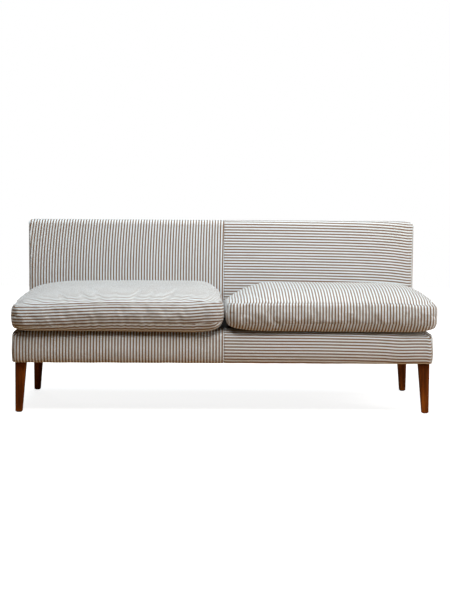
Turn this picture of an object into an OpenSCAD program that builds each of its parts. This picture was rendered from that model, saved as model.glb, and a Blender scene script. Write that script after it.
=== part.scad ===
// Two-seat banquette: an upholstered base and a low tight back on a jointed hardwood frame, four
// tapered legs, and two loose box cushions with zipped covers that lift off.
// Millimetres, +Z up, floor at Z = 0. The front is towards -Y, and left is the sitter's view from there.

/* [Overall] */
// Width of the upholstered base and back
base_w = 1750; // [1400:10:2100]
// Depth from the front of the base to the rear of the back
base_d = 690; // [600:5:820]
// Height of the top of the back above the floor
back_top_h = 790; // [700:5:950]

/* [Legs] */
// Height of a leg without its glide
leg_h = 207; // [120:1:260]
// Width of the leg's square top
leg_top_w = 45; // [36:1:54]
// Width of the leg's square foot
leg_foot_w = 28; // [22:1:35]
// Distance from the upholstery's outer face to a leg
leg_inset = 12; // [8:1:16]
// Bevel along a leg's edges
leg_bevel = 2; // [1:0.5:4]
// Thickness of the glide under a leg
glide_t = 3; // [2:0.5:6]
// Radius of the glide
glide_r = 10; // [7:0.5:11]
// Radius of the glide's nail
glide_nail_r = 1.5; // [1:0.1:2]
// Length of the glide's nail
glide_nail_l = 16; // [10:1:22]
// Radius of the bolt that holds a leg
leg_bolt_r = 4; // [3:0.5:5]
// Length of that bolt inside the leg
leg_bolt_down = 40; // [30:1:55]
// Length of that bolt inside the frame
leg_bolt_up = 30; // [22:1:38]
// Wall of the threaded insert round the bolt
insert_wall = 2; // [1:0.25:2.5]

/* [Frame] */
// Thickness of the seat rails
rail_t = 27; // [20:1:34]
// Height of the seat rails
rail_h = 95; // [70:1:120]
// Width of the corner posts and back posts
post_w = 50; // [42:1:62]
// Depth of the back posts
back_post_d = 45; // [38:1:56]
// Height of the back's top rail
top_rail_h = 50; // [38:1:64]
// Height of the back's lower rail
lower_rail_h = 50; // [38:1:64]
// Height of the back's lower rail above the seat rails
lower_rail_lift = 70; // [50:1:90]
// Width of the centre cross rail and the centre stud of the back
centre_rail_w = 60; // [45:1:80]
// Drop of the centre cross rail below the seat webbing, for the seat to give
centre_rail_drop = 25; // [15:1:40]
// Length of a tenon
tenon_l = 20; // [14:1:25]
// Thickness of a tenon
tenon_t = 12; // [9:0.5:15]
// Shoulder above and below a tenon
tenon_shoulder = 10; // [6:1:14]
// Play of a tenon in its mortise
tenon_play = 0.2; // [0.1:0.05:0.4]

/* [Webbing] */
// Width of a webbing strap
strap_w = 50; // [40:1:60]
// Thickness of a webbing strap
strap_t = 1.5; // [1:0.1:2]
// Straps of the seat that run from front to rear
seat_long_count = 12; // [8:1:14]
// Straps of the seat that run from side to side
seat_cross_count = 4; // [2:1:5]
// Straps of the back that run upright
back_upright_count = 9; // [6:1:12]
// Straps of the back that run from side to side
back_cross_count = 2; // [1:1:3]
// Bare wood between a strap's end and the outer edge of its rail
strap_end_gap = 5; // [3:1:8]

/* [Padding and cloth] */
// Thickness of the cover cloth with its interlining
cloth_t = 2; // [1.5:0.25:3]
// Thickness of the hessian over the webbing
hessian_t = 1; // [0.5:0.1:1.5]
// Thickness of the dust cloth under the base
dust_cloth_t = 0.8; // [0.5:0.1:1.2]
// Thickness of the deck's foam
deck_foam_t = 34; // [26:1:45]
// Thickness of the foam on the front of the back
back_foam_t = 50; // [38:1:65]
// Thickness of the wadding on the other faces
wadding_t = 10; // [8:0.5:13]
// Space between soft layers
layer_gap = 0.3; // [0.2:0.05:0.4]
// Width of the hem that turns in under the base
hem_w = 26; // [20:1:28]

/* [Upholstered form] */
// Rounding of the base's top front edge
base_edge_r = 44; // [30:1:48]
// Rounding of the base's top left end
base_end_r = 30; // [24:1:34]
// Width over which the base's top right end slumps, and over which the side covers reach in on the deck
base_slump_w = 48; // [28:1:60]
// Drop of that end
base_slump_drop = 31; // [26:1:36]
// Rounding of the base's front corners in plan
base_corner_r = 20; // [12:1:28]
// Depth of the striped lip on the deck
lip_d = 110; // [80:1:150]
// Rounding of the back's top edges, front and rear
back_edge_r = 22; // [16:1:28]
// Rounding of the back's top left corner
back_corner_r = 16; // [10:1:22]
// Width over which the back's top right corner slumps
back_slump_w = 40; // [20:1:60]
// Drop of that corner
back_slump_drop = 18; // [12:1:24]
// Rounding of the back's upright edges
back_side_r = 18; // [12:1:24]
// Swell of the back's front face
back_swell = 8; // [4:0.5:14]
// Distance from the back's side face to the seam of its side panel
side_seam = 6; // [4:0.5:9]
// Depth that the back's front cover is tucked below the deck
tuck_d = 25; // [15:1:35]

/* [Cushions] */
// Gap between the two cushions
cushion_gap = 3; // [2:0.5:6]
// Overhang of a cushion past the side of the base
cushion_side_over = 16; // [4:1:24]
// Overhang of a cushion past the front of the base
cushion_front_over = 14; // [6:1:24]
// Space between a cushion and the back, where the zip's pull goes
cushion_back_gap = 8; // [6.5:0.5:12]
// Height of the border between its two seams
border_h = 84; // [60:1:110]
// Rise of the top panel above its seam
crown_h = 62; // [40:1:80]
// Drop of the bottom panel below its seam
belly_h = 30; // [18:1:40]
// Corner radius in plan
cushion_corner_r = 62; // [40:1:85]
// How far the middle of the sides and front is drawn in from the corners
draw_in = 8; // [3:0.5:14]
// Swell of the border between its seams
border_swell = 9; // [4:0.5:14]

/* [Zips] */
// Distance from the end of the zip to the start of the cushion's corner
zip_end_gap = 34; // [16:2:120]
// Height of the slot that the zip's teeth lie in
zip_slot_h = 9; // [8:0.5:12]
// Height of the row of teeth
teeth_h = 5; // [4:0.25:5.5]
// Height of the teeth above their tape
teeth_rise = 1.2; // [0.8:0.1:1.6]
// Thickness of the tape
tape_t = 0.8; // [0.5:0.1:1]
// Height of tape that is sewn behind the border on each side
tape_lap = 8; // [5:0.5:10]
// Length of the slider
slider_l = 14; // [10:0.5:18]
// Thickness of the slider's plate
slider_t = 1.4; // [1:0.1:1.8]
// Length of the pull
pull_l = 24; // [18:1:32]
// Width of the pull
pull_w = 6; // [5:0.5:7]
// Thickness of the pull
pull_t = 1.1; // [0.8:0.1:1.4]
// Play of the slider on the teeth
slider_play = 0.3; // [0.2:0.05:0.4]

/* [Hidden] */
left = -1;
right = 1;
front = -1;
rear = 1;

// One overrun serves every cut.
overrun = 5;
bore_play = 0.1;
bolt_hole_play = 1;
$fn = 48;

// Steps of a quarter round, of a cushion's corner and side, and of the back's swell
arc_steps = 8;
corner_steps = 5;
side_steps = 3;
swell_steps = 12;

// Heights
base_bottom = glide_t + leg_h;
frame_bottom = base_bottom + cloth_t;
rail_top = frame_bottom + rail_h;
web_t = 2 * strap_t;
deck_foam_bottom = rail_top + web_t + hessian_t;
deck_foam_top = deck_foam_bottom + deck_foam_t;
deck_top = deck_foam_top + layer_gap + cloth_t;
frame_inset = cloth_t + wadding_t + 2 * layer_gap;
frame_top = back_top_h - frame_inset;
lower_rail_bottom = rail_top + lower_rail_lift;
tuck_bottom = deck_top - tuck_d;

// Places from front to rear, with the whole piece centred on Y = 0
total_d = base_d + cushion_front_over;
rear_y = total_d / 2;
front_y = rear_y - base_d;
frame_rear_y = rear_y - frame_inset;
back_frame_y = frame_rear_y - back_post_d;
back_foam_rear_y = back_frame_y - web_t - hessian_t;
back_front_y = back_foam_rear_y - back_foam_t - layer_gap - cloth_t;
frame_front_y = front_y + frame_inset;

// Places from side to side
half_w = base_w / 2;
frame_half_w = half_w - frame_inset;
rail_half_w = frame_half_w - post_w;
leg_x = half_w - leg_inset;
leg_front_y = front_y + leg_inset;
leg_rear_y = rear_y - leg_inset;
rail_centre_inset = (rail_t - tenon_t) / 2;

// A cushion, in its own frame: centred on X, with Y from the front reach to the rear plane
cushion_w = half_w + cushion_side_over - cushion_gap / 2;
cushion_x = cushion_w / 2 + cushion_gap / 2;
cushion_front_y = -rear_y;
cushion_rear_y = back_front_y - back_swell - cushion_back_gap;
cushion_mid_y = (cushion_front_y + border_swell + cushion_rear_y) / 2;
cushion_half_d = (cushion_rear_y - cushion_front_y - border_swell) / 2;
lower_seam_z = deck_top + layer_gap + belly_h;
upper_seam_z = lower_seam_z + border_h;
zip_z = lower_seam_z + border_h / 2;
zip_half_l = cushion_w / 2 - border_swell - cushion_corner_r - zip_end_gap;

// Shares of the half depth at which a cushion's rings lie, and where its underside goes flat
top_ring_shares = [0, 0.05, 0.16, 0.36, 0.65];
belly_ring_shares = [0, 0.03, 0.08, 0.15];
belly_flat_share = 0.15;
border_shares = [0, 0.34, 0.66, 1];
pad_top_shares = [0, 0.16, 0.36, 0.65];
pad_border_shares = [0.66, 0.34];
pad_belly_shares = [0, 0.15];

// Points of a round stretch from angle a0 to a1
function arc(cx, cy, r, a0, a1) =
  [for (i = [0:arc_steps]) let (a = a0 + (a1 - a0) * i / arc_steps) [cx + r * cos(a), cy + r * sin(a)]];

// A box from its lowest to its highest corner
module block(low, high) {
  translate(low) cube(high - low);
}

module mirrored(side) {
  scale([side, 1, 1]) children();
}

// Extrudes a profile drawn in X and Z along Y, and one drawn in Y and Z along X
module along_y(y0, y1) {
  translate([0, y1, 0]) rotate([90, 0, 0]) linear_extrude(y1 - y0) children();
}
module along_x(x0, x1) {
  translate([x0, 0, 0]) rotate([90, 0, 90]) linear_extrude(x1 - x0) children();
}

// Four legs: each is drawn with its outer corner on the origin and its body towards +X and +Y
module at_leg(side, end) {
  translate([side * leg_x, end == front ? leg_front_y : leg_rear_y, 0]) scale([-side, -end, 1]) children();
}

module at_each_leg() {
  for (side = [left, right])
    for (end = [front, rear])
      at_leg(side, end) children();
}

// An upright bore or pin through the middle of a square of width w
module upright(w, r, z0, z1) {
  translate([w / 2, w / 2, z0]) cylinder(r = r, h = z1 - z0);
}

insert_r = leg_bolt_r + bore_play + insert_wall;
insert_top = frame_bottom + leg_bolt_up;

module insert_bores() {
  at_each_leg() upright(leg_top_w, insert_r + bore_play, frame_bottom - overrun, insert_top + bore_play);
}

// Joinery. A tenon runs along +X from its shoulder, and as a cut it is a mortise, with play all round.
module tenon(y0, z0, z1, cut) {
  play = cut ? tenon_play : 0;
  block([cut ? -overrun : 0, y0 - play, z0 - play], [tenon_l + play, y0 + tenon_t + play, z1 + play]);
}

// The tenons at both ends of a rail that runs from side to side, with its face at face_y
module side_to_side_tenons(face_y, z0, z1, cut) {
  for (side = [left, right])
    mirrored(side) translate([rail_half_w, face_y + rail_centre_inset, 0]) tenon(0, z0, z1, cut);
}

// The tenons of the seat's rails stand above the leg bolts
seat_tenon_low = insert_top + tenon_shoulder;
seat_tenon_high = rail_top - tenon_shoulder;

module seat_rail_tenons(face_y, cut) {
  side_to_side_tenons(face_y, seat_tenon_low, seat_tenon_high, cut);
}

module back_rail_tenons(z0, h, cut) {
  side_to_side_tenons(back_frame_y, z0 + tenon_shoulder, z0 + h - tenon_shoulder, cut);
}

// The tenons of the side rails, towards the back posts and towards the front posts
module side_rail_tenons(side, cut) {
  mirrored(side) {
    translate([frame_half_w - rail_centre_inset, back_frame_y, 0]) rotate([0, 0, 90])
      tenon(0, seat_tenon_low, seat_tenon_high, cut);
    translate([frame_half_w - rail_t + rail_centre_inset, frame_front_y + post_w, 0]) rotate([0, 0, -90])
      tenon(0, seat_tenon_low, seat_tenon_high, cut);
  }
}

module front_post(side) {
  color("burlywood") difference() {
    mirrored(side) block([rail_half_w, frame_front_y, frame_bottom],
                         [frame_half_w, frame_front_y + post_w, rail_top]);
    seat_rail_tenons(frame_front_y, true);
    side_rail_tenons(side, true);
    insert_bores();
  }
}

module back_post(side) {
  color("burlywood") difference() {
    mirrored(side) block([rail_half_w, back_frame_y, frame_bottom],
                         [frame_half_w, frame_rear_y, frame_top]);
    seat_rail_tenons(back_frame_y, true);
    back_rail_tenons(lower_rail_bottom, lower_rail_h, true);
    back_rail_tenons(frame_top - top_rail_h, top_rail_h, true);
    side_rail_tenons(side, true);
    insert_bores();
  }
}

// A rail between two posts, face_y at its front
module side_to_side_rail(face_y, t, z0, h) {
  block([-rail_half_w, face_y, z0], [rail_half_w, face_y + t, z0 + h]);
}

module seat_rail(face_y) {
  color("burlywood") {
    side_to_side_rail(face_y, rail_t, frame_bottom, rail_h);
    seat_rail_tenons(face_y, false);
  }
}

module back_lower_rail() {
  color("burlywood") {
    side_to_side_rail(back_frame_y, rail_t, lower_rail_bottom, lower_rail_h);
    back_rail_tenons(lower_rail_bottom, lower_rail_h, false);
  }
}

module back_top_rail() {
  color("burlywood") {
    side_to_side_rail(back_frame_y, back_post_d, frame_top - top_rail_h, top_rail_h);
    back_rail_tenons(frame_top - top_rail_h, top_rail_h, false);
  }
}

module side_rail(side) {
  color("burlywood") {
    mirrored(side) block([frame_half_w - rail_t, frame_front_y + post_w, frame_bottom],
                         [frame_half_w, back_frame_y, rail_top]);
    side_rail_tenons(side, false);
  }
}

// The cross rail lies low, so that the webbing can give, and the stud stands behind the back's rails
module centre_cross_rail() {
  color("burlywood") block([-centre_rail_w / 2, frame_front_y + rail_t, frame_bottom],
                           [centre_rail_w / 2, back_frame_y, rail_top - centre_rail_drop]);
}

module back_centre_stud() {
  color("burlywood") block([-centre_rail_w / 2, back_frame_y + rail_t, frame_bottom],
                           [centre_rail_w / 2, frame_rear_y, frame_top - top_rail_h]);
}

// Legs taper on their two inner faces only. The same profile, seen from the front and from the side,
// cuts the square, and two profiles on the diagonals bevel its four edges.
foot_inner = leg_foot_w - leg_bevel;

module leg_profile() {
  polygon([[0, glide_t + leg_bevel], [leg_bevel, glide_t], [foot_inner, glide_t],
           [leg_foot_w, glide_t + leg_bevel], [leg_top_w, base_bottom], [0, base_bottom]]);
}

// A profile from the foot to the top, between two places at each, taken across the square's corners
module diagonal_profile(foot_span, top_span) {
  polygon([[foot_span[0] / sqrt(2), glide_t], [foot_span[1] / sqrt(2), glide_t],
           [top_span[1] / sqrt(2), base_bottom], [top_span[0] / sqrt(2), base_bottom]]);
}

module leg_blank() {
  intersection() {
    along_y(0, leg_top_w) leg_profile();
    along_x(0, leg_top_w) leg_profile();
    rotate([0, 0, 45]) along_y(-leg_top_w, leg_top_w)
      diagonal_profile([leg_bevel, 2 * leg_foot_w - leg_bevel], [leg_bevel, 2 * leg_top_w - leg_bevel]);
    rotate([0, 0, -45]) along_y(0, 2 * leg_top_w)
      diagonal_profile([leg_bevel - leg_foot_w, leg_foot_w - leg_bevel],
                       [leg_bevel - leg_top_w, leg_top_w - leg_bevel]);
  }
}

module leg(side, end) {
  color("saddlebrown") at_leg(side, end) difference() {
    leg_blank();
    upright(leg_top_w, leg_bolt_r + bore_play, base_bottom - leg_bolt_down - bore_play,
            base_bottom + overrun);
    upright(leg_foot_w, glide_nail_r + bore_play, glide_t - overrun, glide_t + glide_nail_l + bore_play);
  }
}

module leg_bolts() {
  color("silver") at_each_leg() upright(leg_top_w, leg_bolt_r, base_bottom - leg_bolt_down, insert_top);
}

module leg_inserts() {
  color("goldenrod") at_each_leg() difference() {
    upright(leg_top_w, insert_r, frame_bottom, insert_top);
    upright(leg_top_w, leg_bolt_r + bore_play, frame_bottom - overrun, insert_top + overrun);
  }
}

// A glide's nail goes up into the foot
module leg_glides() {
  color("dimgray") at_each_leg() {
    upright(leg_foot_w, glide_r, 0, glide_t);
    upright(leg_foot_w, glide_nail_r, 0, glide_t + glide_nail_l);
  }
}

// Webbing, drawn flat with U along X and V along Y: each strap passes over and under the straps it
// crosses, and lies on its rail at both ends.
function spread(count, length) = [for (i = [0:count - 1]) (i - (count - 1) / 2) * length / count];

function strap_line(half_l, crossings, parity) = concat(
  [[-half_l, 0]],
  [for (i = [0:len(crossings) - 1]) let (up = (i + parity) % 2 * strap_t, c = crossings[i])
    each [[c - strap_w / 2 - strap_t, up], [c + strap_w / 2 + strap_t, up]]],
  [[half_l, 0]]);

module strap(half_l, crossings, parity) {
  low = strap_line(half_l, crossings, parity);
  high = [for (p = low) p + [0, strap_t]];
  translate([0, strap_w / 2, 0]) rotate([90, 0, 0]) linear_extrude(strap_w)
    polygon(concat(low, [for (i = [len(high) - 1:-1:0]) high[i]]));
}

module straps_along_v(us, vs, half_v) {
  color("black") for (i = [0:len(us) - 1])
    translate([us[i], 0, 0]) rotate([0, 0, 90]) strap(half_v, vs, i);
}

module straps_along_u(us, vs, half_u) {
  color("black") for (i = [0:len(vs) - 1])
    translate([0, vs[i], 0]) strap(half_u, us, i + 1);
}

seat_open_w = 2 * (frame_half_w - rail_t);
seat_open_d = back_frame_y - frame_front_y - rail_t;
seat_us = spread(seat_long_count, seat_open_w);
seat_vs = spread(seat_cross_count, seat_open_d);
seat_half_u = frame_half_w - strap_end_gap;
seat_half_v = seat_open_d / 2 + rail_t - strap_end_gap;

module on_seat() {
  translate([0, (frame_front_y + back_frame_y + rail_t) / 2, rail_top]) children();
}

back_open_low = lower_rail_bottom + lower_rail_h;
back_open_high = frame_top - top_rail_h;
back_open_h = back_open_high - back_open_low;
back_us = spread(back_upright_count, 2 * rail_half_w);
back_vs = spread(back_cross_count, back_open_h);
back_half_u = frame_half_w - strap_end_gap;
back_half_v = back_open_h / 2 + min(lower_rail_h, top_rail_h) - strap_end_gap;

module on_back() {
  translate([0, back_frame_y, (back_open_low + back_open_high) / 2]) rotate([90, 0, 0]) children();
}

module seat_hessian() {
  color("tan") block([-frame_half_w, frame_front_y, rail_top + web_t],
                     [frame_half_w, back_foam_rear_y, deck_foam_bottom]);
}

module back_hessian() {
  color("tan") block([-frame_half_w, back_foam_rear_y, lower_rail_bottom],
                     [frame_half_w, back_foam_rear_y + hessian_t, frame_top]);
}

// The right end of a form's top, slumped as a quarter ellipse
function slumped_corner(w, top, rx, rz) =
  [for (i = [0:arc_steps]) let (a = 90 * i / arc_steps) [w - rx + rx * cos(a), top - rz + rz * sin(a)]];

// The upholstered base as one block: three profiles that cut each other, inset by a layer's depth.
// Its rear butts against the back, or runs on past it.
module base_form(inset, rear_run) {
  w = half_w - inset;
  y0 = front_y + inset;
  top = deck_top - inset;
  edge = base_edge_r - inset;
  end = base_end_r - inset;
  corner = base_corner_r - inset;
  intersection() {
    along_y(y0, back_front_y + rear_run)
      polygon(concat([[w, base_bottom + inset]],
                     slumped_corner(w, top, base_slump_w - inset, base_slump_drop - inset),
                     arc(end - w, top - end, end, 90, 180), [[-w, base_bottom + inset]]));
    along_x(-w, w)
      polygon(concat([[back_front_y + rear_run, base_bottom + inset], [back_front_y + rear_run, top]],
                     arc(y0 + edge, top - edge, edge, 90, 180), [[y0, base_bottom + inset]]));
    translate([0, 0, base_bottom]) linear_extrude(deck_top - base_bottom)
      polygon(concat([[w, back_front_y + rear_run], [-w, back_front_y + rear_run]],
                     arc(corner - w, y0 + corner, corner, 180, 270),
                     arc(w - corner, y0 + corner, corner, 270, 360)));
  }
}

// The window in the underside that the hem leaves open, and the bolt holes in hem and dust cloth
module hem_window(play) {
  block([play + hem_w - half_w, play + hem_w + front_y, base_bottom - overrun],
        [half_w - hem_w - play, rear_y - hem_w - play, frame_bottom]);
}

module bolt_holes() {
  at_each_leg()
    upright(leg_top_w, leg_bolt_r + bolt_hole_play, base_bottom - overrun, frame_bottom + overrun);
}

module base_skin() {
  difference() {
    base_form(0, 0);
    base_form(cloth_t, overrun);
    hem_window(0);
    bolt_holes();
  }
}

seam_y = front_y + base_corner_r;
seam_x = half_w - base_slump_w;
hem_x = half_w - hem_w;

// The front with its corner, its hem below, and the lip that runs back over the deck
module base_cover(side) {
  color("lightsteelblue") intersection() {
    base_skin();
    mirrored(side) {
      block([0, front_y - overrun, base_bottom - overrun], [half_w + overrun, seam_y, deck_top + overrun]);
      block([0, seam_y - overrun, base_bottom - overrun], [hem_x, front_y + hem_w, frame_bottom]);
      block([0, seam_y - overrun, deck_top - base_edge_r], [seam_x, front_y + lip_d, deck_top + overrun]);
    }
  }
}

module base_side_cover(side) {
  color("lightsteelblue") intersection() {
    base_skin();
    mirrored(side) {
      block([seam_x, seam_y, frame_bottom], [half_w + overrun, back_front_y, deck_top + overrun]);
      block([hem_x, seam_y, base_bottom - overrun], [half_w + overrun, back_front_y, frame_bottom]);
    }
  }
}

module deck_cloth() {
  color("linen") intersection() {
    base_skin();
    block([-seam_x, front_y + lip_d, deck_top - base_edge_r], [seam_x, back_front_y, deck_top + overrun]);
  }
}

module dust_cloth() {
  color("black") difference() {
    intersection() {
      hem_window(layer_gap);
      block([-half_w, front_y, frame_bottom - dust_cloth_t], [half_w, rear_y, frame_bottom]);
    }
    bolt_holes();
  }
}

module deck_foam() {
  color("khaki") intersection() {
    base_form(cloth_t + layer_gap, 0);
    block([-half_w, front_y, deck_foam_bottom], [half_w, back_front_y, deck_top]);
  }
}

// Wadding lies between the cover and the frame, below the deck's foam
module base_wadding() {
  difference() {
    base_form(cloth_t + layer_gap, 0);
    block([-half_w, front_y, deck_foam_bottom - layer_gap], [half_w, rear_y, deck_top + overrun]);
    block([-frame_half_w - layer_gap, frame_front_y - layer_gap, 0],
          [frame_half_w + layer_gap, rear_y, deck_top]);
  }
}

module front_wadding() {
  color("ivory") intersection() {
    base_wadding();
    block([-half_w, front_y, 0], [half_w, frame_front_y, deck_top]);
  }
}

module side_wadding(side) {
  color("ivory") intersection() {
    base_wadding();
    mirrored(side) block([0, frame_front_y + layer_gap, 0], [half_w, back_front_y, deck_top]);
  }
}

// The upholstered back as one slab, in the same way, with a swelling front face and a slumped corner
function swell_at(share) = back_swell * sin(180 * share);
module back_form(inset) {
  w = half_w - inset;
  y0 = back_front_y + inset;
  y1 = rear_y - inset;
  low = base_bottom + inset;
  top = back_top_h - inset;
  edge = back_edge_r - inset;
  corner = back_corner_r - inset;
  side = back_side_r - inset;
  face_low = deck_top;
  face_high = top - edge;
  intersection() {
    along_y(y0 - back_swell, y1)
      polygon(concat([[w, low]], slumped_corner(w, top, back_slump_w - inset, back_slump_drop - inset),
                     arc(corner - w, top - corner, corner, 90, 180), [[-w, low]]));
    along_x(-w, w)
      polygon(concat([[y1, low]], arc(y1 - edge, top - edge, edge, 0, 90),
                     arc(y0 + edge, top - edge, edge, 90, 180),
                     [for (i = [1:swell_steps - 1]) let (share = i / swell_steps)
                       [y0 - swell_at(share), face_high + (face_low - face_high) * share]],
                     [[y0, face_low], [y0, low]]));
    translate([0, 0, base_bottom]) linear_extrude(back_top_h - base_bottom)
      polygon(concat(arc(w - side, y1 - side, side, 0, 90), arc(side - w, y1 - side, side, 90, 180),
                     arc(side - w, y0 - back_swell + side, side, 180, 270),
                     arc(w - side, y0 - back_swell + side, side, 270, 360)));
  }
}

module back_skin() {
  difference() {
    back_form(0);
    back_form(cloth_t);
    hem_window(0);
    bolt_holes();
  }
}

outer_seam_y = rear_y - back_edge_r;

// The front cover runs from its tuck behind the deck up and over the top to the rear seam
module back_cover(side) {
  color("lightsteelblue") intersection() {
    back_skin();
    mirrored(side) {
      block([0, back_front_y - back_swell - overrun, tuck_bottom],
            [half_w - side_seam, back_foam_rear_y, back_top_h + overrun]);
      block([0, back_foam_rear_y - overrun, frame_top],
            [half_w - side_seam, outer_seam_y, back_top_h + overrun]);
    }
  }
}

module back_side_panel(side) {
  color("lightsteelblue") intersection() {
    back_skin();
    mirrored(side) {
      block([half_w - side_seam, back_front_y - back_swell - overrun, frame_bottom],
            [half_w + overrun, outer_seam_y, back_top_h + overrun]);
      block([hem_x, back_front_y, base_bottom - overrun], [half_w + overrun, outer_seam_y, frame_bottom]);
    }
  }
}

module outside_back(side) {
  color("lightsteelblue") intersection() {
    back_skin();
    mirrored(side) {
      block([0, outer_seam_y, frame_bottom], [half_w + overrun, rear_y + overrun, back_top_h + overrun]);
      block([hem_x, outer_seam_y, base_bottom - overrun], [half_w + overrun, rear_y + overrun, frame_bottom]);
      block([0, rear_y - hem_w, base_bottom - overrun], [hem_x, rear_y + overrun, frame_bottom]);
    }
  }
}

// The foam stands on the seat's hessian, behind the deck
module back_foam() {
  color("khaki") intersection() {
    back_form(cloth_t + layer_gap);
    block([-half_w, front_y, deck_foam_bottom], [half_w, back_foam_rear_y, back_top_h]);
  }
}

// Wadding round the back's frame: over the top, down each side, and across the rear. Below the foam
// the side wadding runs forward to the base's own.
back_wadding_y = back_foam_rear_y + layer_gap;

module back_wadding(low, high) {
  color("ivory") difference() {
    intersection() {
      back_form(cloth_t + layer_gap);
      block(low, high);
    }
    block([-half_w, front_y, deck_foam_bottom - layer_gap], [half_w, back_wadding_y, back_top_h]);
  }
}

module back_top_wadding() {
  back_wadding([-half_w, back_front_y, frame_top + layer_gap], [half_w, rear_y, back_top_h]);
}

module back_side_wadding(side) {
  mirrored(side)
    back_wadding([frame_half_w + layer_gap, back_front_y, base_bottom], [half_w, rear_y, frame_top]);
}

module back_rear_wadding() {
  back_wadding([-frame_half_w, frame_rear_y + layer_gap, base_bottom], [frame_half_w, rear_y, frame_top]);
}

// A ring of a cushion: a rounded rectangle inset by e at the front and sides and by er at the rear,
// with its front and sides drawn in towards their middles. The rear side's points come last.
function side_draw(i) = sin(180 * i / (side_steps + 1));

function ring(e, er, r, draw, z) =
  let (a = cushion_w / 2 - e, y0 = cushion_front_y + e, y1 = cushion_rear_y - er,
       centres = [[r - a, y1 - r], [r - a, y0 + r], [a - r, y0 + r], [a - r, y1 - r]],
       inward = [[1, 0], [0, 1], [-1, 0], [0, 0]])
  [for (q = [0:3]) let (turn = 90 * (q + 1), here = centres[q], next = centres[(q + 1) % 4])
    each concat(
      [for (i = [0:corner_steps]) let (t = turn + 90 * i / corner_steps)
        [here.x + r * cos(t), here.y + r * sin(t), z]],
      [for (i = [1:side_steps])
        let (t = turn + 90, p = here + (next - here) * i / (side_steps + 1),
             pull = draw * side_draw(i) * inward[q])
        [p.x + r * cos(t) + pull.x, p.y + r * sin(t) + pull.y, z]])];

// Profiles: the crown is a quarter ellipse, the underside one that goes flat, the border an arc
function crown(share) = sqrt(1 - pow(1 - share, 2));
function belly(share) = crown(min(1, share / belly_flat_share));

// Rings of the three surfaces. An inner surface is shrunk by k, and by kr at the rear.
function top_ring(share, k, kr) =
  let (in = share * (cushion_half_d - k))
  ring(border_swell + in + k, in + kr, cushion_corner_r - k, draw_in * (1 - share),
       upper_seam_z + (crown_h - k) * crown(share));
function belly_ring(share, k, kr) =
  let (in = share * (cushion_half_d - k))
  ring(border_swell + in + k, in + kr, cushion_corner_r - k, draw_in * (1 - share),
       lower_seam_z - (belly_h - k) * belly(share));
function border_ring(share, k, kr) =
  ring(border_swell * (1 - sin(180 * share)) + k, kr, cushion_corner_r - k, draw_in,
       lower_seam_z + border_h * share);

function pole(z) = [0, cushion_mid_y, z];
function backwards(v) = [for (i = [len(v) - 1:-1:0]) v[i]];

// A closed skin from one pole through rings to another
module pole_to_pole(first, rings, last) {
  n = len(rings[0]);
  m = len(rings);
  end = n * m + 1;
  polyhedron(
    points = concat([first], [for (r = rings) each r], [last]),
    faces = concat(
      [for (i = [0:n - 1]) [0, 1 + i, 1 + (i + 1) % n]],
      [for (j = [0:m - 2], i = [0:n - 1])
        let (a = 1 + j * n + i, b = 1 + j * n + (i + 1) % n)
        each [[a, a + n, b + n], [a, b + n, b]]],
      [for (i = [0:n - 1]) [end, end - n + (i + 1) % n, end - n + i]]));
}

// A strip whose section is a closed loop of lines, open at both ends, which get caps. The first
// half of the lines is the outer face, and the second half is the inner face turned back.
module strip(lines) {
  n = len(lines[0]);
  m = len(lines);
  polyhedron(
    points = [for (l = lines) each l],
    faces = concat(
      [for (j = [0:m - 1], i = [0:n - 2])
        let (a = j * n + i, b = (j + 1) % m * n + i)
        each [[a, b, b + 1], [a, b + 1, a + 1]]],
      [for (j = [0:m / 2 - 2])
        let (a = j * n, b = (j + 1) * n, c = (m - 2 - j) * n, d = (m - 1 - j) * n)
        each [[a, d, c], [a, c, b]]],
      [for (j = [0:m / 2 - 2])
        let (a = j * n + n - 1, b = (j + 1) * n + n - 1, c = (m - 2 - j) * n + n - 1,
             d = (m - 1 - j) * n + n - 1)
        each [[a, c, d], [a, b, c]]]));
}

module on_cushion(side) {
  translate([side * cushion_x, 0, 0]) children();
}

module cushion_top_panel(side) {
  color("lightsteelblue") on_cushion(side) pole_to_pole(
    pole(upper_seam_z + crown_h),
    concat([for (share = backwards(top_ring_shares)) top_ring(share, 0, 0)],
           [for (share = top_ring_shares) top_ring(share, cloth_t, cloth_t)]),
    pole(upper_seam_z + crown_h - cloth_t));
}

module cushion_bottom_panel(side) {
  color("lightsteelblue") on_cushion(side) pole_to_pole(
    pole(lower_seam_z - belly_h + cloth_t),
    concat([for (share = backwards(belly_ring_shares)) belly_ring(share, cloth_t, cloth_t)],
           [for (share = belly_ring_shares) belly_ring(share, 0, 0)]),
    pole(lower_seam_z - belly_h));
}

// The border goes round the front and sides, and two flat strips close the rear above and below the zip
module cushion_border(side) {
  around = len(border_ring(0, 0, 0)) - side_steps;
  straight = cushion_w / 2 - border_swell - cushion_corner_r;
  color("lightsteelblue") on_cushion(side) {
    strip([for (k = [0, cloth_t]) each
      [for (share = k == 0 ? border_shares : backwards(border_shares))
        [for (i = [0:around - 1]) border_ring(share, k, k)[i]]]]);
    for (span = [[lower_seam_z, zip_z - zip_slot_h / 2], [zip_z + zip_slot_h / 2, upper_seam_z]])
      block([-straight, cushion_rear_y - cloth_t, span[0]], [straight, cushion_rear_y, span[1]]);
  }
}

// The pad fills the cover, and stays clear of the zip's tape at the rear
module cushion_pad(side) {
  k = cloth_t + layer_gap;
  kr = k + tape_t;
  color("ivory") on_cushion(side) pole_to_pole(
    pole(upper_seam_z + crown_h - k),
    concat([for (share = backwards(pad_top_shares)) top_ring(share, k, kr)],
           [for (share = pad_border_shares) border_ring(share, k, kr)],
           [for (share = pad_belly_shares) belly_ring(share, k, kr)]),
    pole(lower_seam_z - belly_h + k));
}

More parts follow.
